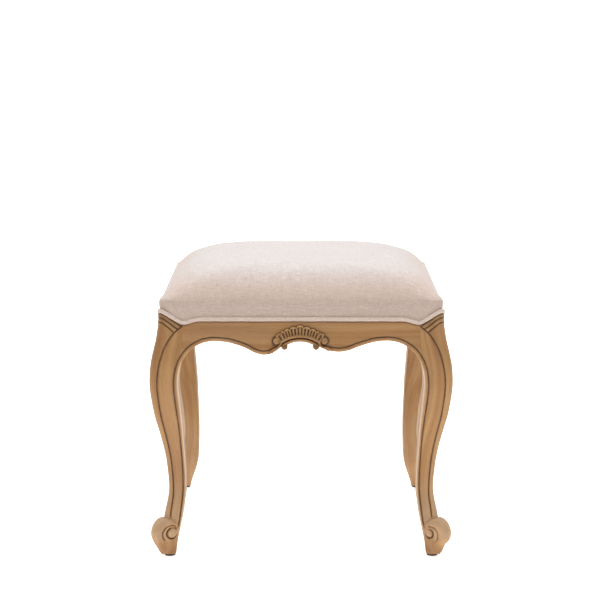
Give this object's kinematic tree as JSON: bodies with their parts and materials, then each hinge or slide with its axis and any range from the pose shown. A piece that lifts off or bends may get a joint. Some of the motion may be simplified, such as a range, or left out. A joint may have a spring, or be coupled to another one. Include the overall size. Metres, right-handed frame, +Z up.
{
  "type": "dressing stool",
  "caption": "Upholstered dressing stool with cabriole legs on scroll feet, shaped rails, a carved shell on the front rail and a domed, piped linen seat.",
  "frame": {"origin": "on the floor, under the middle of the seat", "axes": "+Z up, +X along the front rail to the viewer's right, the front with the shell faces -Y"},
  "size_m": [0.4942, 0.4322, 0.48],
  "materials": {
    "carved_wood": "satin",
    "plain_wood": "matte",
    "plywood": "matte",
    "foam": "matte",
    "wadding": "matte",
    "linen": "matte",
    "linen_piping": "matte",
    "dust_cloth": "matte",
    "staple_steel": "satin",
    "screw_steel": "satin",
    "glide": "matte"
  },
  "bodies": {
    "root": {"corner_block_screws": "screw_steel", "cover_staples": "staple_steel", "dust_cover": "dust_cloth", "foam_pad": "foam", "foot_glides": "glide", "front_left_corner_block": "plain_wood", "front_left_leg": "carved_wood", "front_rail": "carved_wood", "front_right_corner_block": "plain_wood", "front_right_leg": "carved_wood", "left_rail": "carved_wood", "linen_cover": "linen", "piping": "linen_piping", "rail_dowels": "plain_wood", "rear_left_corner_block": "plain_wood", "rear_left_leg": "carved_wood", "rear_rail": "carved_wood", "rear_right_corner_block": "plain_wood", "rear_right_leg": "carved_wood", "right_rail": "carved_wood", "seat_board": "plywood", "seat_screws": "screw_steel", "shell_carving": "carved_wood", "wadding": "wadding"}
  },
  "joints": []
}
